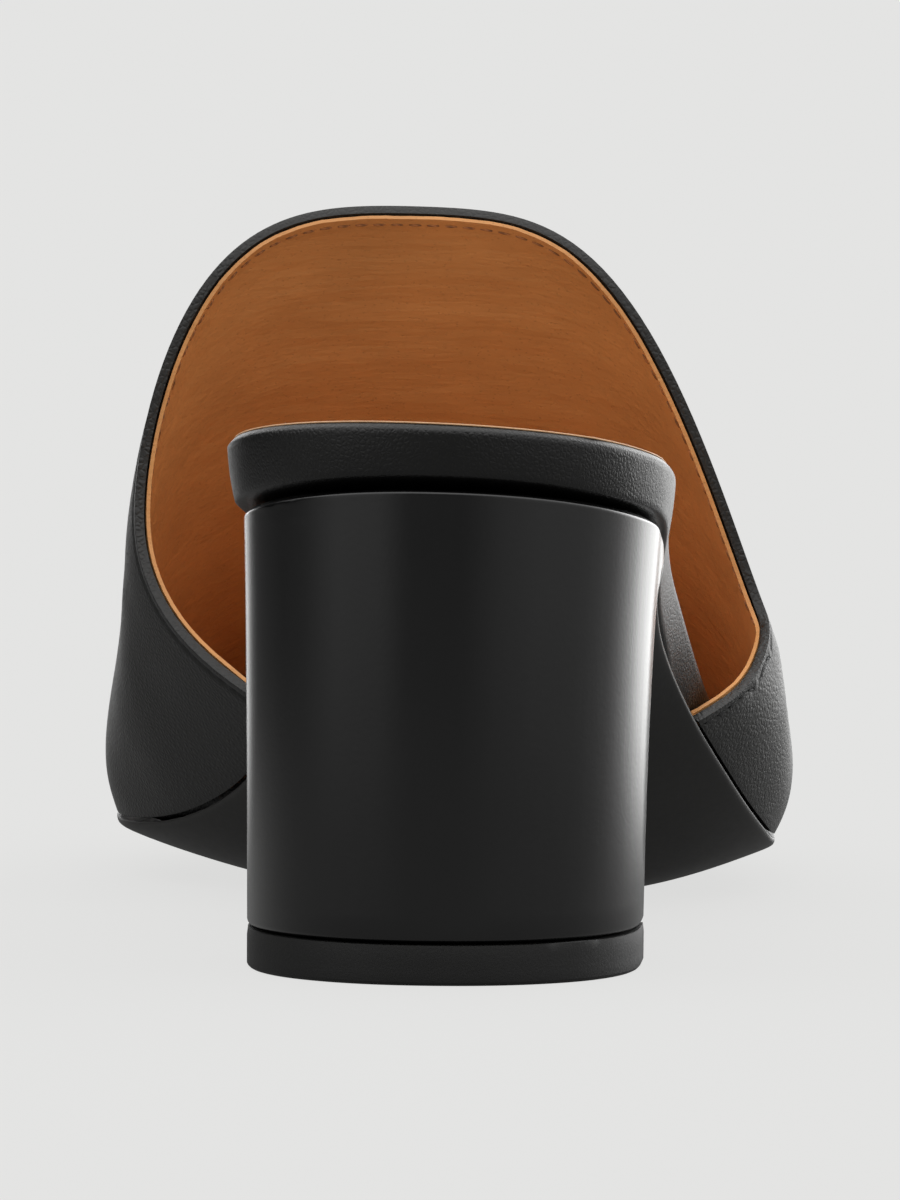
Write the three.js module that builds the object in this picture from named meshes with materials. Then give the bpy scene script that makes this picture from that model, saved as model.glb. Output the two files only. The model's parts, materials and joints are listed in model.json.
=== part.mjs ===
// A right-foot mule with a covered block heel, built as its maker would: outsole, insole, upper,
// heel and top piece. Millimetres, +Z up, +Y to the toe, +X to the outer (lateral) side.
// The origin is the middle of the heel's underside. "at" is the distance forward of the back of
// the heel's underside, so y = at - SETBACK.
import * as THREE from "three";

const { clamp, lerp } = THREE.MathUtils;

// Driving dimensions: the gap between pieces, the wider one under the upper's foot, and the
// upper's wall with its lining.
const SETBACK = 20;
const GAP = 0.3;
const FOOT_GAP = 0.6;
const WALL = 2;

// Heel and top piece: the half width at the floor, how much each side and the back stand out
// further at the seat, and the shape of the rounded back.
const HEEL_HALF_WIDTH = 24.2;
const MEDIAL_SPREAD = 0.8;
const LATERAL_SPREAD = 2.4;
const HEEL_LEAN = 2.2;
const TOP_PIECE_HEIGHT = 5;
const BACK_CURVE = 30;
const BACK_SQUARENESS = 2.15;
const ARRIS = 0.4;
const HEEL_CROWN = 1;

// The neck that tapers out under the waist
const NECK_END = 57;
const NECK_TIP_HEIGHT = 0.5;

// The outsole's flap down the breast, the bend that carries it into the waist, and its edge
const FLAP = 1.4;
const FLAP_TUCK = 0.5;
const BEND_AT = 45.8;
const BEND_HEIGHT = 40.9;
const BEND_RADIUS = 8;
const OUTSOLE_EDGE = 1.3;
const TREAD_POWER = 3.2;

// How much the last drops to the lateral side, for each millimetre across
const TILT = 0.015;

// Toe
const TOE_START = 192;
const TOE_FEATHER = 231.5;
const TOE_FRONT = 234.3;
const TOE_SQUARENESS = 2.35;

// Upper: the share of each side that lies above its widest line, how full the side is below
// that line, and how near an edge its slope is still measured.
const UPPER_SHARE = 0.76;
const FLARE = 0.25;
const EDGE_SHARE = 0.02;

// A table with named columns. The first column is the place; each other column becomes a
// smooth function of it, by cubic pieces that never overshoot their rows.
function table(names, rows) {
  const places = rows.map((row) => row[0]);
  const columns = {};
  for (let column = 1; column < names.length; column += 1) {
    const values = rows.map((row) => row[column]);
    columns[names[column]] = smooth(places, values);
  }
  return columns;
}

function smooth(places, values) {
  const steps = places.slice(1).map((place, i) => (values[i + 1] - values[i]) / (place - places[i]));
  const slopes = places.map((_, i) => {
    if (i === 0) return steps[0];
    if (i === steps.length) return steps[i - 1];
    if (steps[i - 1] * steps[i] <= 0) return 0;
    return 2 / (1 / steps[i - 1] + 1 / steps[i]);
  });
  return (place) => {
    const last = places.length - 2;
    const found = places.findIndex((limit, i) => i > 0 && place < limit) - 1;
    const i = found < 0 ? (place < places[0] ? 0 : last) : found;
    const span = places[i + 1] - places[i];
    const t = clamp((place - places[i]) / span, 0, 1);
    const rise = values[i + 1] - values[i];
    const bend = slopes[i] * span - rise;
    const unbend = rise - slopes[i + 1] * span;
    return values[i] + rise * t + t * (1 - t) * (bend * (1 - t) + unbend * t);
  };
}

// The feather line, where upper and insole meet the outsole: its distance to each side of the
// heel's axis, its height, and how far the bottom of the last swells below it.
const FEATHER = table(["at", "medial", "lateral", "height", "swell"], [
  [-3, 25.6, 25.6, 61.4, 0.4],
  [14, 25.6, 25.6, 57.9, 0.4],
  [26, 25.6, 26.0, 55.9, 0.4],
  [39, 24.8, 26.3, 53.7, 0.4],
  [52, 23.0, 25.8, 50.6, 0.5],
  [62, 21.8, 25.0, 47.0, 1.2],
  [72, 21.0, 24.4, 43.4, 1.8],
  [82, 21.0, 24.2, 39.6, 2.2],
  [92, 22.0, 24.9, 34.7, 2.6],
  [100, 23.2, 26.5, 29.8, 2.8],
  [108, 24.9, 28.6, 24.6, 3.0],
  [116, 27.2, 31.0, 19.8, 3.0],
  [124, 30.2, 33.2, 15.4, 3.0],
  [132, 34.2, 35.0, 11.9, 3.0],
  [140, 38.8, 36.4, 9.3, 3.0],
  [150, 44.2, 37.0, 7.5, 3.0],
  [160, 48.6, 37.0, 6.9, 3.0],
  [169, 50.2, 36.2, 7.2, 3.0],
  [182, 49.4, 34.4, 8.2, 2.8],
  [195, 46.6, 30.8, 9.7, 2.4],
  [210, 43.4, 26.4, 11.6, 2.0],
  [222, 40.6, 22.8, 13.1, 1.6],
  [232, 38.0, 20.0, 14.2, 1.2],
]);

// The insole board: its height at the edge, how far its top and bottom edges stand out past
// the feather line, how far its top is hollowed for the foot, and how much more than the last
// it drops to the lateral side.
const BOARD = table(["at", "rise", "topOut", "bottomOut", "hollow", "lean"], [
  [-3, 6.8, 1.6, 0.2, 1.2, 0.02],
  [14, 7.6, 1.6, 0.2, 1.6, 0.02],
  [39, 7.8, 1.6, 0.2, 1.4, 0.015],
  [65, 8.3, 1.5, 0.0, 0.8, 0.005],
  [82, 8.5, 1.5, 0.0, 0.6, 0],
  [96, 8.3, 1.5, -0.4, 0.8, 0],
  [106, 8.2, 0.4, -3.8, 1.0, 0],
  [118, 8.0, -1.0, -3.8, 1.4, 0],
  [130, 7.0, -1.4, -3.2, 1.6, 0],
  [145, 5.8, -1.4, -2.6, 1.8, 0],
  [165, 5.0, -1.6, -2.6, 1.8, 0],
  [195, 4.6, -1.6, -2.6, 1.4, 0],
  [232, 4.2, -1.6, -2.6, 0.8, 0],
]);

// The lowest line of the outsole, forward of the bend.
const TREAD = table(["at", "height"], [
  [45.8, 47.5],
  [51, 47.4],
  [55.5, 46.7],
  [59, 45.2],
  [72, 39.2],
  [86, 31.6],
  [99, 22.8],
  [106, 17.9],
  [113, 13.4],
  [120, 9.2],
  [127, 4.7],
  [133, 1.4],
  [138, -0.4],
  [147, -0.4],
  [160, 0.9],
  [180, 3.0],
  [200, 5.4],
  [218, 7.6],
  [232, 9.4],
]);

// Sections through the upper's outer face, square to the heel's axis: the widest line of each
// side and its height, the ridge, and the powers that shape the sides and the crown.
const SECTION = table(
  ["at", "medial", "lateral", "medialHeight", "lateralHeight", "ridge", "crest", "medialFall",
    "lateralFall", "crown"], [
    [104, 36.4, 31.2, 51, 42, -8.0, 104.2, 1.55, 0.76, 3.5],
    [116, 42.5, 34.8, 50, 39, -8.0, 96.9, 1.55, 0.76, 3.5],
    [128, 46.3, 37.5, 47, 36, -8.1, 89.4, 1.55, 0.76, 3.5],
    [140, 47.8, 38.9, 33, 25, -8.7, 77.1, 1.65, 1.05, 3.2],
    [152, 49.6, 39.4, 24, 18, -9.4, 64.8, 1.75, 1.35, 2.9],
    [165, 51.4, 38.6, 17, 14, -9.8, 53.5, 1.75, 1.60, 2.7],
    [180, 51.4, 37.0, 15, 13, -9.8, 44.0, 1.80, 1.80, 2.6],
    [195, 48.9, 33.4, 15, 14, -9.6, 37.5, 1.90, 1.90, 2.5],
    [210, 45.8, 29.0, 16, 15, -9.4, 33.5, 2.00, 2.00, 2.4],
    [225, 42.4, 24.8, 17, 16, -9.2, 31.0, 2.00, 2.00, 2.4],
    [236, 39.8, 22.0, 18, 17, -9.0, 29.5, 2.00, 2.00, 2.4],
  ]);

// The topline: how far forward each part of the section is cut, from the medial feather (-1)
// over the ridge (0) to the lateral feather (1).
const TOPLINE = table(["across", "at"], [
  [-1.00, 108.6],
  [-0.93, 113.0],
  [-0.86, 117.4],
  [-0.76, 122.2],
  [-0.65, 124.7],
  [-0.50, 126.2],
  [-0.30, 127.2],
  [0.00, 127.6],
  [0.20, 128.4],
  [0.40, 129.8],
  [0.55, 130.6],
  [0.66, 129.2],
  [0.76, 124.6],
  [0.86, 117.4],
  [0.93, 112.1],
  [1.00, 107.6],
]);

// Finishes
const COVERED = { color: 0x1c1b1a, roughness: 0.35, metalness: 0 };
const GRAINED = { color: 0x201f1d, roughness: 0.55, metalness: 0 };
const SOLE_LEATHER = { color: 0x2a2926, roughness: 0.6, metalness: 0 };
const RUBBER = { color: 0x1a1a19, roughness: 0.7, metalness: 0 };

function evenly(count, from, to) {
  return Array.from({ length: count + 1 }, (_, i) => lerp(from, to, i / count));
}

function powered(wave, power) {
  return Math.pow(Math.max(wave, 0), 2 / power);
}

// Spreads a square patch over a rounded end, so that the end closes without a pole: reach is
// the share of the way to the edge, side and ahead the direction that it goes in.
function spread(across, turn, squareness) {
  const side = across * Math.sqrt(1 - (turn * turn) / 2);
  const ahead = turn * Math.sqrt(1 - (across * across) / 2);
  const reach = Math.hypot(side, ahead);
  if (reach === 0) return { side, ahead, reach };
  const corner = Math.abs(side / reach) ** squareness + Math.abs(ahead / reach) ** squareness;
  const stretch = corner ** (-1 / squareness) / reach;
  return { side: side * stretch, ahead: ahead * stretch, reach };
}

// The height of the feather plane at a place.
function featherHeight(x, at) {
  return FEATHER.height(at) - TILT * x;
}

// The place across the sole at a share of the way from its middle line to its feather edge.
function featherPoint(at, side, out) {
  const middle = (FEATHER.lateral(at) - FEATHER.medial(at)) / 2;
  const half = (FEATHER.lateral(at) + FEATHER.medial(at)) / 2 + out;
  return { x: middle + side * half, at };
}

// A point of the sole's plan. A station is a place along the shoe and its turn into a rounded
// end, from 0 to 1 at the toe and 0 to -1 at the heel; out widens the whole plan.
function planPoint(across, station, out) {
  const atHeel = station.turn < 0;
  const { side, ahead, reach } = spread(
    across, station.turn, atHeel ? BACK_SQUARENESS : TOE_SQUARENESS);
  const end = atHeel ? BACK_CURVE + HEEL_LEAN : TOE_FEATHER - TOE_START;
  return { ...featherPoint(station.at + reach * ahead * (end + out), reach * side, out), reach };
}

const heelStations = evenly(5, -1, 0).map((turn) => ({ at: BACK_CURVE, turn }));
const toeStations = evenly(8, 0, 1).map((turn) => ({ at: TOE_START, turn }));

function straightStations(count, from) {
  return evenly(count, from, TOE_START).slice(1, -1).map((at) => ({ at, turn: 0 }));
}

// A closed solid from patches of quads: the first and the last level are whole patches, and
// each level between them is a ring around their edge.
function solid(name, finish, stations, across, levels, place) {
  const points = [];
  const faces = [];
  const lastRow = stations.length - 1;
  const lastColumn = across.length - 1;
  const edge = [];
  for (let j = 0; j < lastRow; j += 1) edge.push([j, 0]);
  for (let i = 0; i < lastColumn; i += 1) edge.push([lastRow, i]);
  for (let j = lastRow; j > 0; j -= 1) edge.push([j, lastColumn]);
  for (let i = lastColumn; i > 0; i -= 1) edge.push([0, i]);

  const add = (j, i, level) => {
    const point = place(across[i], stations[j], level);
    points.push(point.x, point.at - SETBACK, point.z);
    return points.length / 3 - 1;
  };
  const quad = (a, b, c, d) => faces.push(a, b, c, a, c, d);
  const patch = (level) => stations.map((_, j) => across.map((__, i) => add(j, i, level)));

  const low = patch(levels[0]);
  const high = patch(levels[levels.length - 1]);
  for (let j = 0; j < lastRow; j += 1) {
    for (let i = 0; i < lastColumn; i += 1) {
      quad(low[j][i], low[j + 1][i], low[j + 1][i + 1], low[j][i + 1]);
      quad(high[j][i], high[j][i + 1], high[j + 1][i + 1], high[j + 1][i]);
    }
  }
  const rings = [
    edge.map(([j, i]) => low[j][i]),
    ...levels.slice(1, -1).map((level) => edge.map(([j, i]) => add(j, i, level))),
    edge.map(([j, i]) => high[j][i]),
  ];
  for (let k = 1; k < rings.length; k += 1) {
    for (let n = 0; n < edge.length; n += 1) {
      const next = (n + 1) % edge.length;
      quad(rings[k - 1][n], rings[k][n], rings[k][next], rings[k - 1][next]);
    }
  }

  const geometry = new THREE.BufferGeometry();
  geometry.setAttribute("position", new THREE.Float32BufferAttribute(points, 3));
  geometry.setIndex(faces);
  geometry.computeVertexNormals();
  const mesh = new THREE.Mesh(geometry, new THREE.MeshStandardMaterial(finish));
  mesh.name = name;
  return mesh;
}

// The insole board, one thick covered slab from heel seat to toe with soft arrises.
function insole() {
  const stations = [...heelStations, ...straightStations(20, BACK_CURVE), ...toeStations];
  const levels = [
    { share: 0, tuck: 0.5 },
    { share: 0.06, tuck: 0.1 },
    { share: 0.45, tuck: 0 },
    { share: 0.89, tuck: 0.1 },
    { share: 1, tuck: 1.0 },
  ];
  return solid("insole", GRAINED, stations, evenly(10, -1, 1), levels, (across, station, level) => {
    const near = planPoint(across, station, 0).at;
    const out = lerp(BOARD.bottomOut(near), BOARD.topOut(near), Math.sqrt(level.share));
    const { x, at, reach } = planPoint(across, station, out - level.tuck);
    const middle = 1 - reach * reach;
    const feather = featherHeight(x, at);
    const bottom = feather + GAP - FEATHER.swell(at) * middle;
    const top = feather + BOARD.rise(at) - BOARD.hollow(at) * middle - BOARD.lean(at) * x;
    return { x, at, z: lerp(bottom, top, level.share) };
  });
}

// The heel's width to one side at a height, and the lean of its back.
function heelWidth(across, z, tuck) {
  const spreadOut = across < 0 ? MEDIAL_SPREAD : LATERAL_SPREAD;
  return across * (HEEL_HALF_WIDTH + spreadOut * (z / FEATHER.height(0)) ** 2 - tuck);
}

function heelBack(z) {
  return BACK_CURVE + HEEL_LEAN * (z / FEATHER.height(0));
}

// How far the neck of the heel keeps the outsole below the feather line, and where the neck
// has thinned to its tip.
const NECK_DEPTH = FEATHER.height(BEND_AT) - BEND_HEIGHT - BEND_RADIUS;
const NECK_LENGTH = NECK_END - BEND_AT;
const NECK_TIP = NECK_END - (NECK_LENGTH * (NECK_TIP_HEIGHT + 2 * GAP)) / NECK_DEPTH;

function neckDepth(at) {
  return NECK_DEPTH * clamp((NECK_END - at) / NECK_LENGTH, 0, 1);
}

// How far the outsole's upper face swells below its own edge.
function soleSwell(at) {
  return FEATHER.swell(at) * Math.sqrt(1 - neckDepth(at) / NECK_DEPTH);
}

// The profile between heel and outsole: up the breast, round the bend and along the neck. A
// step from 0 to 1 is the breast, 1 to 2 the bend and 2 to 3 the neck.
function breastLine(step, radius) {
  if (step <= 1) return { at: BEND_AT - radius, z: lerp(TOP_PIECE_HEIGHT + GAP, BEND_HEIGHT, step) };
  if (step <= 2) {
    const angle = (step - 1) * (Math.PI / 2);
    return {
      at: BEND_AT - radius * Math.cos(angle),
      z: BEND_HEIGHT + radius * Math.sin(angle),
    };
  }
  const at = lerp(BEND_AT, NECK_TIP, step - 2);
  return { at, z: FEATHER.height(at) - neckDepth(at) + radius - BEND_RADIUS };
}

// Eases a width from the heel's to the waist's round the bend, and takes up the last's lean:
// raised is the share of that lean at points that are behind the bend.
function bendPoint(at, z, across, tuck, raised) {
  const ease = clamp((at - BEND_AT + BEND_RADIUS) / BEND_RADIUS, 0, 1);
  const waist = featherPoint(at, across, -tuck);
  const x = lerp(heelWidth(across, z, tuck), waist.x, ease);
  return { x, at, z: z - TILT * x * Math.max(ease, raised) };
}

// The outsole: a flap down the breast, the bend, a thin-edged waist and the forepart.
function outsole() {
  const stations = [
    ...evenly(6, 0, 2).map((step) => ({ step, turn: 0 })).slice(0, -1),
    { at: BEND_AT, turn: 0 },
    ...straightStations(26, BEND_AT),
    ...toeStations,
  ];
  const levels = [{ share: 0, tuck: 0.5 }, { share: 0.5, tuck: 0 }, { share: 1, tuck: 0 }];
  return solid("outsole", SOLE_LEATHER, stations, evenly(16, -1, 1), levels,
    (across, station, level) => {
      if (station.step !== undefined) {
        const { at, z } = breastLine(station.step, BEND_RADIUS - FLAP * (1 - level.share));
        const tuck = level.tuck + FLAP_TUCK * (1 - station.step / 2);
        return bendPoint(at, z, across, tuck, 0);
      }
      const { x, at, reach } = planPoint(across, station, -level.tuck);
      const edge = featherHeight(x, at) - neckDepth(at);
      const low = lerp(edge - OUTSOLE_EDGE, TREAD.height(at), 1 - reach ** TREAD_POWER);
      const top = edge - soleSwell(at) * (1 - reach * reach);
      return { x, at, z: lerp(Math.max(low, 0), top, level.share) };
    });
}

// The heel block: broad rounded back, flat breast, and a neck that tapers out under the waist.
function heel() {
  const stations = [
    ...evenly(5, -1, 0).map((turn) => ({ turn, share: 0 })),
    ...evenly(5, 0, 1).slice(1).map((share) => ({ turn: 0, share })),
  ];
  const top = FEATHER.height(0) - GAP;
  const levels = [
    { step: 0, back: TOP_PIECE_HEIGHT + GAP, tuck: ARRIS },
    { step: 0.01, back: TOP_PIECE_HEIGHT + GAP + ARRIS, tuck: 0 },
    { step: 0.33, back: 17, tuck: 0 },
    { step: 0.67, back: 30, tuck: 0 },
    { step: 1, back: 41, tuck: 0 },
    { step: 1.33, back: 48, tuck: 0 },
    { step: 1.67, back: 53, tuck: 0 },
    { step: 2, back: 56.5, tuck: 0 },
    { step: 2.5, back: 58.5, tuck: 0 },
    { step: 3, back: top - HEEL_CROWN, tuck: 0 },
    { step: 3, back: top, tuck: HEEL_CROWN, cap: true },
  ];
  return solid("heel", COVERED, stations, evenly(8, -1, 1), levels, (across, station, level) => {
    const front = breastLine(level.step, BEND_RADIUS + GAP);
    const frontHeight = level.cap ? FEATHER.height(front.at) - GAP : front.z;
    const { side, ahead, reach } = spread(across, station.turn, BACK_SQUARENESS);
    const start = BACK_CURVE + reach * ahead * (heelBack(level.back) - level.tuck);
    const at = lerp(start, front.at, station.share);
    const along = clamp((at + HEEL_LEAN) / (front.at + HEEL_LEAN), 0, 1);
    const straight = lerp(level.back, frontHeight, along);
    const drop = lerp(FEATHER.height(0) - level.back, FEATHER.height(front.at) - frontHeight, along);
    const height = clamp((level.back - BEND_HEIGHT) / (top - BEND_HEIGHT), 0, 1);
    const z = lerp(straight, FEATHER.height(at) - drop, height);
    const point = bendPoint(at, z, reach * side, level.tuck, height);
    const swell = level.cap ? FEATHER.swell(at) : soleSwell(at);
    if (level.step > 2) point.z -= swell * (1 - (point.x / FEATHER.lateral(at)) ** 2);
    return point;
  });
}

// The rubber top piece under the heel and the end of the flap.
function topPiece() {
  const stations = [
    ...evenly(5, -1, 0).map((turn) => ({ turn, share: 0 })),
    ...evenly(4, 0, 1).slice(1).map((share) => ({ turn: 0, share })),
  ];
  const levels = [
    { z: 0, tuck: ARRIS },
    { z: ARRIS, tuck: 0 },
    { z: TOP_PIECE_HEIGHT, tuck: 0 },
  ];
  const front = BEND_AT - BEND_RADIUS + FLAP;
  return solid("top_piece", RUBBER, stations, evenly(8, -1, 1), levels,
    (across, station, level) => {
      const { side, ahead, reach } = spread(across, station.turn, BACK_SQUARENESS);
      const start = BACK_CURVE + reach * ahead * (heelBack(level.z) - level.tuck);
      return {
        x: heelWidth(reach * side, level.z, level.tuck),
        at: lerp(start, front - level.tuck, station.share),
        z: level.z,
      };
    });
}

// The outer face of the upper. Along runs from 0 at the topline to 1 where the toe begins, and
// on to 2 at the toe's feather. Each side rises from the feather to its widest line, then goes
// over the crown to the ridge.
function upperFace(across, along) {
  const sign = across < 0 ? -1 : 1;
  const side = across < 0 ? "medial" : "lateral";
  const turn = Math.max(along - 1, 0);
  const way = spread(across, turn, TOE_SQUARENESS);
  const start = lerp(TOPLINE.at(across), TOE_START, Math.min(along, 1));
  const crown = SECTION.crown(start);
  const lift = Math.min(way.reach / UPPER_SHARE, 1);
  const angle = (Math.PI / 2) * (1 - lift ** (crown / 2));
  const reach = powered(Math.cos(angle), crown);
  const at = start + reach * way.ahead * (TOE_FRONT - TOE_START);
  const ridge = SECTION.ridge(at);
  const half = SECTION[side](at) - sign * ridge;
  const x = ridge + reach * way.side * half;
  const widest = SECTION[`${side}Height`](at);
  const fall = SECTION[`${side}Fall`](at);
  const z = widest + (SECTION.crest(at) - widest) * powered(Math.sin(angle), fall);
  if (way.reach <= UPPER_SHARE) return new THREE.Vector3(x, at, z);

  const down = (way.reach - UPPER_SHARE) / (1 - UPPER_SHARE);
  const foot = featherPoint(start + way.ahead * (TOE_FEATHER - TOE_START), way.side, 0);
  const footHeight = featherHeight(foot.x, foot.at) + FOOT_GAP;
  const flare = sign * FLARE * (2 - fall) * (widest - footHeight) * down * (1 - down);
  return new THREE.Vector3(
    lerp(x, foot.x, down * down) + flare,
    lerp(at, foot.at, down * down),
    lerp(z, footHeight, down),
  );
}

// The way out of that face, taken just inside its edges because the toe's corners of the
// patch have none of their own.
function upperNormal(across, along) {
  const side = clamp(across, -1 + EDGE_SHARE, 1 - EDGE_SHARE);
  const row = clamp(along, EDGE_SHARE, 2 - EDGE_SHARE);
  const step = EDGE_SHARE / 2;
  const acrossSlope = upperFace(side + step, row).sub(upperFace(side - step, row));
  const alongSlope = upperFace(side, row + step).sub(upperFace(side, row - step));
  return acrossSlope.cross(alongSlope).normalize();
}

// The upper: one shell of even wall from the topline to the feather, open below.
function upper() {
  const stations = [...evenly(16, 0, 1), ...evenly(8, 1, 2).slice(1)];
  const levels = [{ depth: WALL }, { depth: 0 }];
  return solid("upper", GRAINED, stations, evenly(30, -1, 1), levels, (across, along, level) => {
    const point = upperFace(across, along);
    point.addScaledVector(upperNormal(across, along), -level.depth);
    return { x: point.x, at: point.y, z: point.z };
  });
}

const shoe = new THREE.Group();
shoe.add(outsole(), insole(), upper(), heel(), topPiece());

export default shoe;
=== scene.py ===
"""Dresses the solids of a right-foot mule: leather vamp and lining, covered rim, sock lining,
covered block heel, sole, stitching and a pale studio. Metres; +Y is the toe, +X the outer side."""
import json
import math
from contextlib import contextmanager

import bmesh
import bpy
from bpy.props import FloatProperty, FloatVectorProperty, IntProperty, PointerProperty
from mathutils import Matrix, Vector

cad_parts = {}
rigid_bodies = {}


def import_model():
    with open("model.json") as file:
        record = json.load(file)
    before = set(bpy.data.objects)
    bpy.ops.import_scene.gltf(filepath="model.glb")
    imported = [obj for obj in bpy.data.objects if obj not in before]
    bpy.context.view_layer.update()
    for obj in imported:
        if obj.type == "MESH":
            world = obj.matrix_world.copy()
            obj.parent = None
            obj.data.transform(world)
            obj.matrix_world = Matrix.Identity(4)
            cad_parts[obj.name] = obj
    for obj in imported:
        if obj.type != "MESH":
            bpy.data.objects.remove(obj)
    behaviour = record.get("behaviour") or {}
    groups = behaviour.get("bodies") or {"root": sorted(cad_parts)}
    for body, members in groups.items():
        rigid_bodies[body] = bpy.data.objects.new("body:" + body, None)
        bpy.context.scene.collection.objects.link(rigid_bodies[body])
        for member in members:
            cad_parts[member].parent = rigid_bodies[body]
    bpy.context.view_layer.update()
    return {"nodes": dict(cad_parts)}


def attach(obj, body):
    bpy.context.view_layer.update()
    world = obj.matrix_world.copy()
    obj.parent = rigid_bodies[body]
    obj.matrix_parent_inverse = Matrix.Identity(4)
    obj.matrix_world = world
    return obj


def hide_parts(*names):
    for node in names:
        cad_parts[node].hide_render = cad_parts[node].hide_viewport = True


bl_info = {
    "name": "Block-heel mule",
    "version": (1, 0, 0),
    "blender": (4, 5, 0),
    "location": "3D View > Sidebar > Mule",
    "description": "Dresses a mule's solids with leather, lining, stitches and a studio",
    "category": "Object",
}

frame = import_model()
BODY = "root"
MM = 0.001

# Angle past which two faces of a solid meet at an edge of the real piece
SHARP = math.radians(38)

# Angle within which faces still belong to the board's top and not to its rounded arris
FLAT = math.radians(22)


# ---------------------------------------------------------------- properties


def length(name, description, default):
    return FloatProperty(name=name, description=description, default=default * MM, unit="LENGTH")


def colour(name, description, default):
    return FloatVectorProperty(
        name=name, description=description, default=default, size=3, subtype="COLOR", min=0, max=1)


class MuleSizes(bpy.types.PropertyGroup):
    """Sizes of the pieces that dress the solids."""

    leather: length("Leather", "Thickness of the vamp's folded outer leather", 1.2)
    lining: length("Lining", "Thickness of the vamp's lining", 0.5)
    sock: length("Sock lining", "How far the sock lining stands proud", 0.22)
    fold: length("Fold", "Radius of the topline's folded edge", 0.35)
    setback: length("Setback", "How far the lining stops short of the fold", 0.5)
    groove: length("Groove", "Depth of the stitched groove along the topline", 0.28)
    groove_width: length("Groove width", "Half the width of the stitched groove", 0.35)
    stitch: length("Stitch", "Length of one stitch", 1.7)
    stitch_pitch: length("Stitch pitch", "Distance from one stitch to the next", 2.3)
    thread: length("Thread", "Radius of the thread", 0.17)
    waviness: length("Waviness", "How far the lining's cut edge wanders", 0.14)
    levels: IntProperty(
        name="Smoothing", description="Subdivision levels of each piece", default=2, min=1, max=3)


class MuleColours(bpy.types.PropertyGroup):
    """Colours of the finishes, as linear values."""

    vamp: colour("Vamp", "Black calf of the vamp", (0.0140, 0.0138, 0.0128))
    rim: colour("Rim", "Black leather over the insole board", (0.0045, 0.0044, 0.0041))
    heel: colour("Heel", "Polished black leather over the heel", (0.0040, 0.0040, 0.0041))
    sole: colour("Sole", "Black sole leather", (0.0105, 0.0099, 0.0088))
    rubber: colour("Top piece", "Black rubber", (0.0050, 0.0050, 0.0048))
    lining: colour("Lining", "Tan lining leather", (0.670, 0.310, 0.103))
    lining_edge: colour("Lining edge", "Cut edge of the lining", (0.640, 0.340, 0.150))
    sock: colour("Sock lining", "Natural leather underfoot", (0.720, 0.430, 0.235))
    thread: colour("Thread", "Black thread", (0.0070, 0.0070, 0.0070))
    tan_thread: colour("Lining thread", "Thread along the lining", (0.300, 0.120, 0.040))
    floor: colour("Floor", "Pale studio floor", (0.766, 0.766, 0.759))


# ---------------------------------------------------------------- modelling helpers


def activate(piece):
    bpy.ops.object.select_all(action="DESELECT")
    piece.select_set(True)
    bpy.context.view_layer.objects.active = piece


@contextmanager
def editing(piece, mode="EDGE"):
    """Edit mode on one piece with nothing selected in it."""
    activate(piece)
    bpy.ops.object.mode_set(mode="EDIT")
    bpy.ops.mesh.select_mode(type=mode)
    bpy.ops.mesh.select_all(action="DESELECT")
    yield bmesh.from_edit_mesh(piece.data)
    bpy.ops.object.mode_set(mode="OBJECT")


def choose(bm, elements):
    """Selects these vertices, edges or faces and shows the choice to the next operator."""
    for element in elements:
        element.select_set(True)
    bm.select_flush_mode()


def copy_of(node, name):
    """A merged copy of a solid, in quads, for a piece to be shaped from."""
    solid = frame["nodes"][node]
    hidden = solid.hide_viewport
    solid.hide_viewport = False
    activate(solid)
    bpy.ops.object.duplicate()
    solid.hide_viewport = hidden
    piece = bpy.context.active_object
    piece.name = piece.data.name = name
    piece.hide_render = False
    for key in list(piece.keys()):
        del piece[key]
    piece.parent = None
    piece.data.materials.clear()
    with editing(piece):
        bpy.ops.mesh.select_all(action="SELECT")
        bpy.ops.mesh.remove_doubles(threshold=0.01 * MM)
        bpy.ops.mesh.tris_convert_to_quads(
            face_threshold=math.radians(60), shape_threshold=math.radians(60))
        bpy.ops.mesh.normals_make_consistent(inside=False)
    return piece


def finish_modifier(piece, kind, **settings):
    activate(piece)
    modifier = piece.modifiers.new(kind.title(), kind)
    for name, value in settings.items():
        setattr(modifier, name, value)
    bpy.ops.object.modifier_apply(modifier=modifier.name)


def subdivided(piece, levels):
    finish_modifier(
        piece, "SUBSURF", levels=levels, render_levels=levels,
        boundary_smooth="PRESERVE_CORNERS")


def crease_sharp(piece, amount, wanted=None):
    """Keeps the piece's sharp edges crisp through subdivision."""
    with editing(piece) as bm:
        edges = [e for e in bm.edges if e.is_manifold and e.calc_face_angle() > SHARP]
        choose(bm, [e for e in edges if wanted is None or wanted(e)])
        bpy.ops.transform.edge_crease(value=amount)


def smooth_shaded(piece, angle=None):
    activate(piece)
    if angle is None:
        bpy.ops.object.shade_smooth()
    else:
        bpy.ops.object.shade_smooth_by_angle(angle=angle)


def fitted(piece, materials, replaced=None):
    """Gives a finished piece its materials and body, and hides the solid that it replaces."""
    if not piece.data.materials:
        for material in materials:
            piece.data.materials.append(material)
    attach(piece, BODY)
    if replaced:
        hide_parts(replaced)


def shell_faces():
    """The outer and the inner face of the upper's wall, as two open sheets."""
    shell = copy_of("upper", "vamp")
    with editing(shell) as bm:
        choose(bm, [e for e in bm.edges if e.calc_face_angle(0) > math.radians(50)])
        bpy.ops.mesh.edge_split(type="EDGE")
        bpy.ops.mesh.select_all(action="SELECT")
        bpy.ops.mesh.separate(type="LOOSE")
    parts = sorted(
        bpy.context.selected_objects, key=lambda part: sum(f.area for f in part.data.polygons))
    inner, outer = parts[-2:]
    for scrap in parts[:-2]:
        bpy.data.objects.remove(scrap)
    return outer, inner


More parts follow.
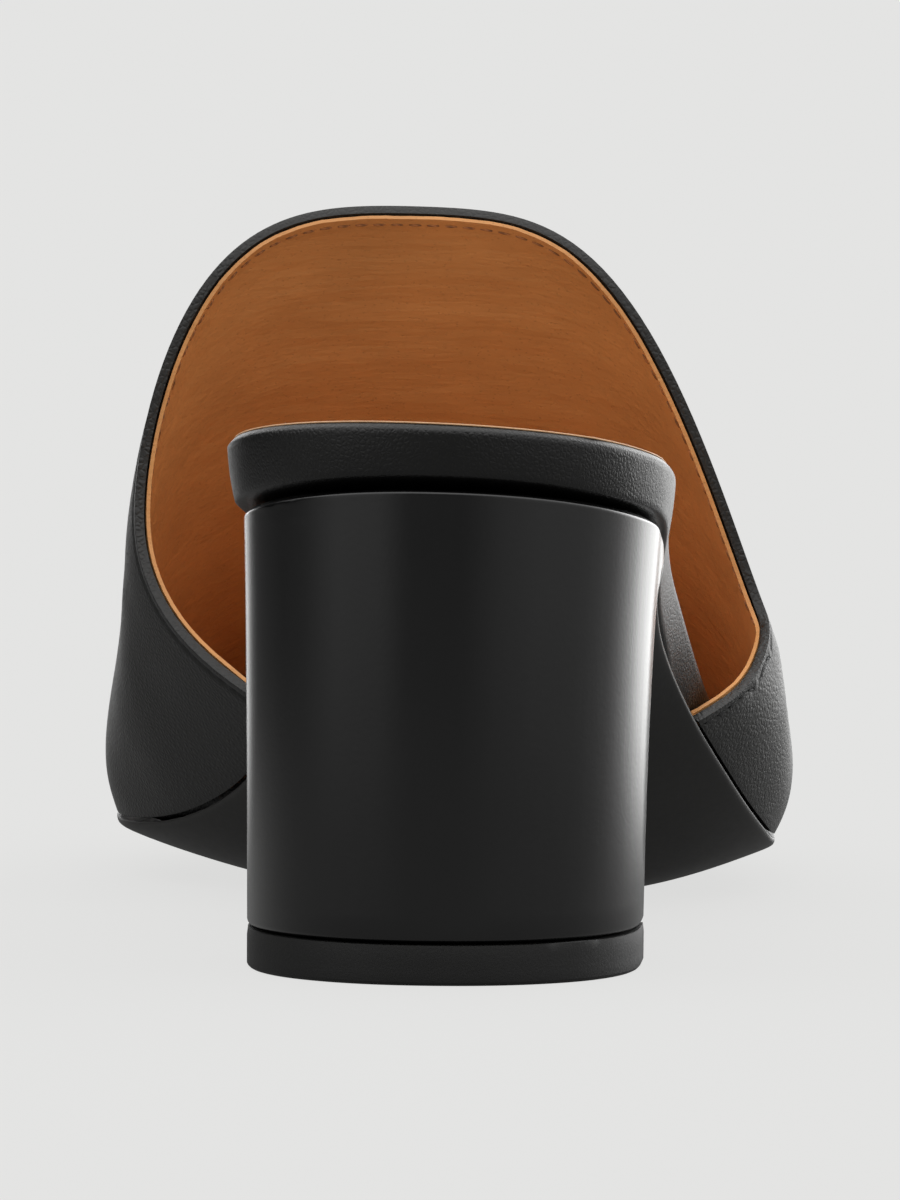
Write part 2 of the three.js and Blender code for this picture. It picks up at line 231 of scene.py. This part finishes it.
def topline(bm):
    """The topline's vertices in order, from the medial corner over the ridge to the lateral."""
    corners = sorted((v for v in bm.verts if len(v.link_edges) == 2), key=lambda v: v.co.y)[:2]
    here, end = sorted(corners, key=lambda v: v.co.x)
    edge = max(here.link_edges, key=lambda e: e.other_vert(here).co.z)
    loop = [here]
    while here is not end:
        here = edge.other_vert(here)
        loop.append(here)
        onward = [e for e in here.link_edges if e.is_boundary and e is not edge]
        edge = onward[0]
    return loop


def rows_from(first, count):
    """The rows of a grid that follow a first row of vertices."""
    rows = [first]
    seen = set(first)
    for _ in range(count):
        following = []
        for vertex in rows[-1]:
            near = {e.other_vert(vertex) for e in vertex.link_edges} - seen
            following += sorted(near, key=lambda v: (v.co - vertex.co).length)
            seen |= near
        rows.append(following)
    return rows


# Soft troughs and ridges of the vamp, in millimetres: both ends of each, seen from above, how
# high on the shell it reaches down to, its half width and its depth (a ridge's is negative).
CREASES = [
    {"start": (-30, 115), "end": (2, 113), "above": 66, "width": 1.8, "depth": 0.28},
    {"start": (-22, 119.5), "end": (8, 119), "above": 64, "width": 1.8, "depth": 0.24},
    {"start": (-30, 125), "end": (-6, 124), "above": 60, "width": 2.2, "depth": 0.28},
    {"start": (-14, 130), "end": (10, 131), "above": 56, "width": 2.4, "depth": 0.22},
    {"start": (-34, 140), "end": (10, 142), "above": 44, "width": 4.5, "depth": 0.35},
    {"start": (-30, 148), "end": (12, 150), "above": 38, "width": 4.5, "depth": -0.22},
    {"start": (-28, 156), "end": (14, 159), "above": 32, "width": 5.0, "depth": 0.28},
]


def creased(piece, outward):
    """Presses the creases into a sheet whose normals point out of the shoe, or into it."""
    normals = [vertex.normal.copy() for vertex in piece.data.vertices]
    for vertex, normal in zip(piece.data.vertices, normals):
        x, y, z = vertex.co / MM
        push = 0
        for crease in CREASES:
            start, end = Vector(crease["start"]), Vector(crease["end"])
            along = (Vector((x, y)) - start).dot(end - start) / (end - start).length_squared
            nearest = start + (end - start) * min(max(along, 0), 1)
            distance = (Vector((x, y)) - nearest).length / crease["width"]
            fade = 1 / (1 + math.exp((crease["above"] - z) / 2))
            push += crease["depth"] * math.exp(-distance ** 2) * fade
        vertex.co -= normal * push * outward * MM


def vamp_sheets(levels):
    """The creased outer and inner face of the vamp, smoothed."""
    outer, inner = shell_faces()
    for sheet, outward in ((outer, 1), (inner, -1)):
        subdivided(sheet, levels)
        creased(sheet, outward)
    return outer, inner


def seam_path(piece, row, depth):
    """Points and normals along one row of a sheet, counted from its topline."""
    bm = bmesh.new()
    bm.from_mesh(piece.data)
    bm.normal_update()
    path = [(v.co - v.normal * depth, v.normal.copy()) for v in rows_from(topline(bm), row)[row]]
    bm.free()
    return path


def spaced(path, pitch):
    """Places a pitch apart along a path, each with its direction and its normal."""
    ahead = pitch / 2
    for (start, up), (end, _) in zip(path, path[1:]):
        step = (end - start).length
        while ahead < step:
            yield start.lerp(end, ahead / step), (end - start).normalized(), up
            ahead += pitch
        ahead -= step


def sewn(name, path, sizes, material):
    """One stitch copied along a path, the copies joined into a row."""
    bpy.ops.object.select_all(action="DESELECT")
    bpy.ops.mesh.primitive_uv_sphere_add(segments=10, ring_count=6, radius=1)
    first = bpy.context.active_object
    with editing(first):
        bpy.ops.mesh.select_all(action="SELECT")
        bpy.ops.transform.resize(value=(sizes.stitch / 2, sizes.thread, sizes.thread))
    stitches = []
    for place, along, up in spaced(path, sizes.stitch_pitch):
        stitch = first.copy()
        stitch.data = first.data.copy()
        side = up.cross(along).normalized()
        turned = Matrix((along, side, along.cross(side))).transposed().to_4x4()
        stitch.matrix_world = Matrix.Translation(place) @ turned
        bpy.context.scene.collection.objects.link(stitch)
        stitches.append(stitch)
    bpy.data.objects.remove(first)
    activate(stitches[0])
    for stitch in stitches:
        stitch.select_set(True)
    bpy.ops.object.join()
    bpy.ops.object.transform_apply()
    row = bpy.context.active_object
    row.name = row.data.name = name
    smooth_shaded(row)
    fitted(row, [material])


# ---------------------------------------------------------------- shader maths


class Wire:
    """A shader socket that takes part in Python arithmetic by adding Math nodes."""

    def __init__(self, shop, socket):
        self.shop = shop
        self.socket = socket

    def math(self, operation, *values):
        return self.shop.node("Math", dict(enumerate(values)), {"operation": operation})

    def __add__(self, other):
        return self.math("ADD", self, other)

    def __sub__(self, other):
        return self.math("SUBTRACT", self, other)

    def __rsub__(self, other):
        return self.math("SUBTRACT", other, self)

    def __mul__(self, other):
        return self.math("MULTIPLY", self, other)

    def __pow__(self, other):
        return self.math("POWER", self, other)

    def __neg__(self):
        return self.math("MULTIPLY", self, -1)

    __radd__ = __add__
    __rmul__ = __mul__


class Shop:
    """Adds nodes to one tree."""

    def __init__(self, tree):
        self.tree = tree

    def node(self, kind, inputs=None, settings=None, stops=None, output=0):
        """A node of a type, with its settings, ramp stops and the values of its sockets."""
        made = self.tree.nodes.new("ShaderNode" + kind)
        for name, value in (settings or {}).items():
            setattr(made, name, value)
        if stops:
            elements = made.color_ramp.elements
            for place, _ in stops[1:-1]:
                elements.new(place)
            for element, (_, value) in zip(elements, stops):
                element.color = (value, value, value, 1)
        for name, value in (inputs or {}).items():
            self.feed(made.inputs[name], value)
        return Wire(self, made.outputs[output])

    def feed(self, socket, value):
        if isinstance(value, Wire):
            self.tree.links.new(value.socket, socket)
        elif socket.type == "RGBA":
            socket.default_value = (*value, 1)
        else:
            socket.default_value = value

    def blend(self, factor, low, high, kind="MIX"):
        """A colour between two others."""
        mixed = self.tree.nodes.new("ShaderNodeMix")
        mixed.data_type = "RGBA"
        mixed.blend_type = kind
        for index, value in ((0, factor), (6, low), (7, high)):
            self.feed(mixed.inputs[index], value)
        return Wire(self, mixed.outputs[2])

    def noise(self, place, size, detail=3, roughness=0.5):
        """Cloudy noise with features of a size in metres."""
        inputs = {"Vector": place, "Scale": 1 / size, "Detail": detail, "Roughness": roughness}
        return self.node("TexNoise", inputs)

    def split(self, vector):
        """The three parts of a vector."""
        parts = self.node("SeparateXYZ", {"Vector": vector}).socket.node.outputs
        return [Wire(self, part) for part in parts]

    def step(self, value, low, high):
        """0 below one value, 1 above another and a smooth rise between."""
        return self.node(
            "MapRange", {"Value": value, "From Min": low, "From Max": high},
            {"interpolation_type": "SMOOTHSTEP"})


SOCKETS = {
    "coat": "Coat Weight",
    "coat_roughness": "Coat Roughness",
    "specular": "Specular IOR Level",
    "roughness": "Roughness",
}


class Finish(Shop):
    """A material and the nodes that it is mixed from."""

    def __init__(self, name, **constants):
        self.material = bpy.data.materials.new(name)
        self.material.use_nodes = True
        super().__init__(self.material.node_tree)
        self.shader = self.tree.nodes["Principled BSDF"]
        self.place = self.node("TexCoord", output="Object")
        for name, value in constants.items():
            self.set(SOCKETS[name], value)

    def set(self, name, value):
        self.feed(self.shader.inputs[name], value)

    def bump(self, *layers):
        """Relief from pairs of height and depth in metres, the finest first."""
        normal = None
        for height, depth in layers:
            inputs = {"Height": height, "Distance": depth, "Strength": 1}
            if normal:
                inputs["Normal"] = normal
            normal = self.node("Bump", inputs)
        self.set("Normal", normal)


def tinted(rgb, amount):
    return tuple(min(channel * amount, 1) for channel in rgb)


# ---------------------------------------------------------------- finishes


def grained_leather(name, rgb, roughness, grain, depth, **constants):
    """Black leather with a fine pebbled grain, soft mottling and a few rubbed patches."""
    finish = Finish(name, **constants)
    place = finish.place
    warp = finish.noise(place, 4 * grain, 2)
    cells = finish.node(
        "TexVoronoi", {"Vector": place, "Scale": 1 / grain, "Randomness": 1},
        {"feature": "DISTANCE_TO_EDGE"})
    pebbles = finish.step(cells, 0.0, 0.35)
    fine = finish.noise(place, grain / 2.5, 2, 0.6)
    mottle = finish.noise(place, 11 * MM, 4, 0.55)
    rubbed = finish.step(finish.noise(place, 26 * MM, 3, 0.6), 0.52, 0.74)
    base = finish.blend(mottle, tinted(rgb, 0.75), tinted(rgb, 1.3))
    base = finish.blend(rubbed * 0.5, base, tinted(rgb, 1.9))
    finish.set("Base Color", finish.blend((1 - pebbles) * 0.35, base, tinted(rgb, 0.5)))
    finish.set("Roughness", roughness - 0.06 * rubbed + 0.10 * (mottle - 0.5) + 0.06 * fine)
    finish.bump((fine + 0.6 * warp, depth * 0.5), (pebbles, depth))
    return finish.material


def polished_leather(name, rgb, roughness):
    """Glazed heel cover: a tight grain under a polish, with faint upright streaks."""
    finish = Finish(name, coat=0.4, coat_roughness=0.14)
    stretched = finish.node(
        "Mapping", {"Vector": finish.place, "Scale": (1, 1, 0.12)}, {"vector_type": "POINT"})
    streaks = finish.noise(stretched, 1.4 * MM, 3)
    grain = finish.noise(finish.place, 0.55 * MM, 3, 0.65)
    clouds = finish.noise(finish.place, 14 * MM, 3)
    finish.set("Base Color", finish.blend(clouds, tinted(rgb, 0.8), tinted(rgb, 1.35)))
    finish.set("Roughness", roughness + 0.08 * (streaks - 0.5) + 0.08 * (clouds - 0.5))
    finish.bump((grain, 0.022 * MM), (streaks, 0.012 * MM))
    return finish.material


def lining_leather(name, rgb, wrinkled=True):
    """Soft vegetable-tanned leather: cloudy colour, open pores and fine wrinkles."""
    finish = Finish(name, specular=0.4)
    place = finish.place
    clouds = finish.noise(place, 13 * MM, 4, 0.6)
    flecks = finish.step(finish.noise(place, 1.1 * MM, 3, 0.7), 0.55, 0.75)
    pores = finish.node(
        "TexVoronoi", {"Vector": place, "Scale": 1 / (0.75 * MM), "Randomness": 1},
        {"feature": "F1"})
    pits = finish.step(pores, 0.05, 0.3)
    base = finish.blend(clouds, tinted(rgb, 0.80), tinted(rgb, 1.18))
    base = finish.blend(flecks * 0.22, base, tinted(rgb, 0.66))
    finish.set("Base Color", finish.blend((1 - pits) * 0.3, base, tinted(rgb, 0.6)))
    finish.set("Roughness", 0.52 + 0.14 * (clouds - 0.5) + 0.08 * flecks)
    stretched = finish.node(
        "Mapping", {"Vector": place, "Scale": (0.18, 1, 1)}, {"vector_type": "POINT"})
    wrinkles = finish.noise(stretched, 2.6 * MM, 3, 0.6)
    finish.bump((pits, 0.03 * MM), (wrinkles, (0.35 if wrinkled else 0.08) * MM))
    return finish.material


def cut_edge(name, rgb):
    """The raw edge of lining leather, fibrous and paler than its face."""
    finish = Finish(name, specular=0.3)
    fibres = finish.noise(finish.place, 0.5 * MM, 4, 0.7)
    finish.set("Base Color", finish.blend(fibres, tinted(rgb, 0.6), tinted(rgb, 1.25)))
    finish.set("Roughness", 0.6 + 0.2 * fibres)
    finish.bump((fibres, 0.1 * MM))
    return finish.material


def sole_leather(name, rgb):
    """Inked sole leather: satin, with faint lengthways brush marks and small scuffs."""
    finish = Finish(name)
    stretched = finish.node(
        "Mapping", {"Vector": finish.place, "Scale": (1, 0.08, 1)}, {"vector_type": "POINT"})
    brushed = finish.noise(stretched, 0.9 * MM, 3, 0.6)
    clouds = finish.noise(finish.place, 18 * MM, 4, 0.6)
    scuffs = finish.step(finish.noise(finish.place, 3 * MM, 4, 0.7), 0.62, 0.7)
    base = finish.blend(clouds, tinted(rgb, 0.75), tinted(rgb, 1.35))
    finish.set("Base Color", finish.blend(scuffs * 0.25, base, tinted(rgb, 2.2)))
    finish.set("Roughness", 0.42 + 0.12 * (clouds - 0.5) + 0.08 * brushed)
    finish.bump((brushed, 0.03 * MM))
    return finish.material


def rubber(name, rgb):
    """Moulded rubber: matt, with a fine even tooth."""
    finish = Finish(name)
    tooth = finish.noise(finish.place, 0.35 * MM, 2, 0.6)
    clouds = finish.noise(finish.place, 9 * MM, 3)
    finish.set("Base Color", finish.blend(clouds, tinted(rgb, 0.8), tinted(rgb, 1.3)))
    finish.set("Roughness", 0.5 + 0.12 * (clouds - 0.5) + 0.05 * tooth)
    finish.bump((tooth, 0.03 * MM))
    return finish.material


def waxed_thread(name, rgb):
    """Twisted thread with a little wax."""
    finish = Finish(name)
    twist = finish.node(
        "TexWave", {"Vector": finish.place, "Scale": 0.5 / MM, "Distortion": 2},
        {"bands_direction": "DIAGONAL"})
    finish.set("Base Color", finish.blend(twist, tinted(rgb, 0.7), tinted(rgb, 1.5)))
    finish.set("Roughness", 0.45 + 0.1 * twist)
    return finish.material


# ---------------------------------------------------------------- pieces


class MULE_OT_vamp(bpy.types.Operator):
    """Makes the vamp's folded leather and its lining from the two faces of the upper's wall"""

    bl_idname = "mule.vamp"
    bl_label = "Vamp and lining"

    def execute(self, context):
        sizes, tints = context.scene.mule_sizes, context.scene.mule_colours
        outer, inner = vamp_sheets(sizes.levels)
        self.fold_leather(outer, sizes, tints)
        self.line(inner, sizes, tints)
        return {"FINISHED"}

    def fold_leather(self, sheet, sizes, tints):
        """Grooves the sheet along its stitch line, thickens it inwards and rounds its fold."""
        sheet.name = sheet.data.name = "vamp_leather"
        with editing(sheet) as bm:
            line = set(rows_from(topline(bm), 1)[1])
            choose(bm, [e for e in bm.edges if set(e.verts) <= line])
            bpy.ops.mesh.bevel(offset=sizes.groove_width, segments=2, profile=0.5)
            bm = bmesh.from_edit_mesh(sheet.data)
            bpy.ops.mesh.select_mode(type="VERT")
            bpy.ops.mesh.select_less()
            bpy.ops.transform.shrink_fatten(value=-sizes.groove)
        finish_modifier(
            sheet, "SOLIDIFY", thickness=sizes.leather, offset=-1, use_even_offset=True)
        finish_modifier(
            sheet, "BEVEL", width=sizes.fold, segments=3, limit_method="ANGLE",
            angle_limit=math.radians(60))
        smooth_shaded(sheet)
        leather = grained_leather("vamp calf", tints.vamp, 0.43, 0.75 * MM, 0.05 * MM)
        fitted(sheet, [leather], "upper")

    def line(self, sheet, sizes, tints):
        """Trims the lining a little below the fold and gives it a pale cut edge."""
        sheet.name = sheet.data.name = "vamp_lining"
        with editing(sheet, "VERT") as bm:
            bm.normal_update()
            if sum(f.normal.y * f.calc_area() for f in bm.faces) > 0:
                bpy.ops.mesh.select_all(action="SELECT")
                bpy.ops.mesh.flip_normals()
                bpy.ops.mesh.select_all(action="DESELECT")
                bm = bmesh.from_edit_mesh(sheet.data)
            edge, second = rows_from(topline(bm), 1)
            inward = [(deeper.co - vertex.co).normalized() for vertex, deeper in zip(edge, second)]
            for place, (vertex, way) in enumerate(zip(edge, inward)):
                wander = math.sin(place * 0.9) + 0.6 * math.sin(place * 2.3 + 1)
                vertex.co += way * (sizes.setback + wander * sizes.waviness)
            choose(bm, [v for v in bm.verts if v.is_boundary and v not in edge[1:-1]])
            bpy.ops.mesh.delete(type="VERT")
        finish_modifier(
            sheet, "SOLIDIFY", thickness=sizes.lining, offset=-1, material_offset_rim=1)
        smooth_shaded(sheet, math.radians(50))
        face = lining_leather("lining leather", tints.lining)
        edge = cut_edge("lining cut edge", tints.lining_edge)
        sheet.data.materials.append(face)
        sheet.data.materials.append(edge)
        fitted(sheet, [face, edge])


class MULE_OT_insole(bpy.types.Operator):
    """Covers the insole board and lays the sock lining on its top"""

    bl_idname = "mule.insole"
    bl_label = "Insole rim and sock lining"

    def execute(self, context):
        sizes, tints = context.scene.mule_sizes, context.scene.mule_colours
        board = copy_of("insole", "insole_rim")
        sock = self.lift_top(board)
        crease_sharp(board, 0.6)
        for piece in (board, sock):
            subdivided(piece, sizes.levels)
            smooth_shaded(piece)
        cover = grained_leather("rim leather", tints.rim, 0.36, 0.6 * MM, 0.035 * MM)
        fitted(board, [cover], "insole")
        finish_modifier(
            sock, "SOLIDIFY", thickness=sizes.sock, offset=1, use_even_offset=True)
        finish_modifier(
            sock, "BEVEL", width=sizes.sock * 0.4, segments=2, limit_method="ANGLE",
            angle_limit=math.radians(60))
        smooth_shaded(sock)
        fitted(sock, [lining_leather("sock leather", tints.sock, False)])
        return {"FINISHED"}

    def lift_top(self, board):
        """Copies the board's top patch into a sheet of its own."""
        with editing(board, "FACE") as bm:
            bm.normal_update()
            choose(bm, [max(bm.faces, key=lambda f: f.normal.z * f.calc_area())])
            bpy.ops.mesh.faces_select_linked_flat(sharpness=FLAT)
            bpy.ops.mesh.duplicate()
            bpy.ops.mesh.separate(type="SELECTED")
        sock = next(o for o in bpy.context.selected_objects if o is not board)
        sock.name = sock.data.name = "sock_lining"
        return sock


class MULE_OT_heel(bpy.types.Operator):
    """Covers the heel block and shapes its top piece"""

    bl_idname = "mule.heel"
    bl_label = "Heel cover and top piece"

    def execute(self, context):
        sizes, tints = context.scene.mule_sizes, context.scene.mule_colours
        cover = copy_of("heel", "heel_cover")
        crease_sharp(cover, 0.85)
        subdivided(cover, sizes.levels)
        smooth_shaded(cover, math.radians(40))
        fitted(cover, [polished_leather("heel cover", tints.heel, 0.22)], "heel")

        lift = copy_of("top_piece", "heel_top_piece")
        crease_sharp(lift, 0.9)
        subdivided(lift, sizes.levels)
        smooth_shaded(lift, math.radians(40))
        finish_modifier(lift, "WEIGHTED_NORMAL", keep_sharp=True)
        fitted(lift, [rubber("top piece rubber", tints.rubber)], "top_piece")
        return {"FINISHED"}


class MULE_OT_sole(bpy.types.Operator):
    """Shapes the outsole with its thin trimmed edge"""

    bl_idname = "mule.sole"
    bl_label = "Outsole"

    def execute(self, context):
        sizes, tints = context.scene.mule_sizes, context.scene.mule_colours
        sole = copy_of("outsole", "sole_leather")
        crease_sharp(sole, 0.9)
        subdivided(sole, sizes.levels)
        smooth_shaded(sole, math.radians(40))
        fitted(sole, [sole_leather("sole leather", tints.sole)], "outsole")
        return {"FINISHED"}


class MULE_OT_stitches(bpy.types.Operator):
    """Sews the topline: one row in the vamp's groove and one along the lining's edge"""

    bl_idname = "mule.stitches"
    bl_label = "Topline stitches"

    def execute(self, context):
        sizes, tints = context.scene.mule_sizes, context.scene.mule_colours
        outer, inner = vamp_sheets(sizes.levels)
        groove = seam_path(outer, 1, sizes.groove * 0.6)
        edge = seam_path(inner, 1, -sizes.thread * 0.3)
        for sheet in (outer, inner):
            bpy.data.objects.remove(sheet)
        sewn("groove_stitches", groove, sizes, waxed_thread("black thread", tints.thread))
        sewn("lining_stitches", edge, sizes, waxed_thread("tan thread", tints.tan_thread))
        return {"FINISHED"}


# ---------------------------------------------------------------- studio

# Brightness of the studio round the shoe at its own height. Degrees run from the heel's side
# (0) over the outer side (90) to the toe's side (180).
STUDIO_LIGHT = [
    (-180, 3.0), (-170, 3.0), (-161, 1.6), (-152, 0.2), (-146, 0.0), (-112, 0.0), (-94, 0.1),
    (-68, 0.6), (-36, 0.6), (-18, 0.13), (14, 0.12), (36, 0.44), (62, 0.6), (92, 0.5),
    (118, 0.7), (134, 2.1), (147, 3.6), (162, 3.0), (180, 3.0),
]
BRIGHTEST = 4

# Brightness overhead, of the floor close to the shoe, of the floor farther off as a share of the
# studio's, and of the backdrop and floor as the camera sees them
OVERHEAD = 1.5
NEAR_FLOOR = 0.2
FAR_FLOOR = 0.8
BACKDROP = 0.766
FLOOR_SEEN = 0.915

# The camera stands behind the heel, turned a little to the outer side, and is rolled slightly
CAMERA_DISTANCE = 1.868
CAMERA_TURN = math.radians(2.84)
CAMERA_ROLL = math.radians(0.4)
CAMERA_HEIGHT = 0.161
CAMERA_AIM = (0.0019, -0.020, 0.0468)
CAMERA_LENS = 465.405


def ring(shop, x, y):
    """The studio's brightness in the direction of a place on the floor."""
    turn = x.math("ARCTAN2", x, -y) * (0.5 / math.pi) + 0.5
    stops = [((angle + 180) / 360, level / BRIGHTEST) for angle, level in STUDIO_LIGHT]
    return shop.node("ValToRGB", {"Fac": turn}, stops=stops) * BRIGHTEST


class MULE_OT_studio(bpy.types.Operator):
    """Adds the pale floor, the soft light all round and the camera"""

    bl_idname = "mule.studio"
    bl_label = "Studio"

    def execute(self, context):
        scene = context.scene
        scene.view_settings.view_transform = "Standard"
        self.floor(scene.mule_colours.floor)
        self.light(scene)
        self.camera(scene)
        return {"FINISHED"}

    def floor(self, rgb):
        bpy.ops.object.select_all(action="DESELECT")
        bpy.ops.mesh.primitive_plane_add(size=60)
        floor = bpy.context.active_object
        floor.name = floor.data.name = "studio_floor"
        finish = Finish("studio paper", roughness=1.0, specular=0.0)
        finish.set("Base Color", tinted(rgb, 0.07))
        finish.set("Emission Color", rgb)
        seen = finish.node("LightPath", output="Is Camera Ray")
        distance = finish.node(
            "VectorMath", {0: finish.place}, {"operation": "LENGTH"}, output="Value")
        away = finish.step(distance, 0.12, 0.50)
        x, y, _ = finish.split(finish.place)
        lit = NEAR_FLOOR * (1 - away) + FAR_FLOOR * ring(finish, x, y) * away
        finish.set("Emission Strength", FLOOR_SEEN * seen + lit * (1 - seen))
        floor.data.materials.append(finish.material)

    def light(self, scene):
        world = scene.world or bpy.data.worlds.new("studio")
        scene.world = world
        world.use_nodes = True
        shop = Shop(world.node_tree)
        x, y, z = shop.split(shop.node("TexCoord", output="Generated"))
        overhead = shop.step(z, 0.22, 0.65)
        level = ring(shop, x, y) * (1 - overhead) + OVERHEAD * overhead
        seen = shop.node("LightPath", output="Is Camera Ray")
        strength = level * (1 - seen) + BACKDROP * seen
        background = world.node_tree.nodes["Background"]
        background.inputs["Color"].default_value = (1, 1, 1, 1)
        shop.feed(background.inputs["Strength"], strength)

    def camera(self, scene):
        aim = Vector(CAMERA_AIM)
        camera = bpy.data.cameras.new("camera")
        camera.lens = CAMERA_LENS
        camera.sensor_width = 36
        camera.clip_end = 100
        stand = bpy.data.objects.new("camera", camera)
        scene.collection.objects.link(stand)
        back = Vector((math.sin(CAMERA_TURN), -math.cos(CAMERA_TURN))) * CAMERA_DISTANCE
        place = Vector((back.x, back.y + aim.y, CAMERA_HEIGHT))
        facing = (aim - place).to_track_quat("-Z", "Y").to_matrix().to_4x4()
        stand.matrix_world = (
            Matrix.Translation(place) @ facing @ Matrix.Rotation(CAMERA_ROLL, 4, "Z"))
        scene.camera = stand


class MULE_PT_panel(bpy.types.Panel):
    """Lists the steps that dress the mule."""

    bl_label = "Mule"
    bl_idname = "MULE_PT_panel"
    bl_space_type = "VIEW_3D"
    bl_region_type = "UI"
    bl_category = "Mule"

    def draw(self, context):
        for operator in STEPS:
            self.layout.operator(operator.bl_idname)
        for group in (context.scene.mule_sizes, context.scene.mule_colours):
            for name in group.bl_rna.properties.keys():
                if name not in ("rna_type", "name"):
                    self.layout.prop(group, name)


STEPS = [
    MULE_OT_vamp, MULE_OT_insole, MULE_OT_heel, MULE_OT_sole, MULE_OT_stitches, MULE_OT_studio,
]
CLASSES = [MuleSizes, MuleColours, *STEPS, MULE_PT_panel]


def register():
    for cls in CLASSES:
        bpy.utils.register_class(cls)
    bpy.types.Scene.mule_sizes = PointerProperty(type=MuleSizes)
    bpy.types.Scene.mule_colours = PointerProperty(type=MuleColours)


def unregister():
    del bpy.types.Scene.mule_colours
    del bpy.types.Scene.mule_sizes
    for cls in reversed(CLASSES):
        bpy.utils.unregister_class(cls)


def main():
    register()
    bpy.ops.mule.vamp()
    bpy.ops.mule.insole()
    bpy.ops.mule.heel()
    bpy.ops.mule.sole()
    bpy.ops.mule.stitches()
    bpy.ops.mule.studio()


if __name__ == "__main__":
    main()
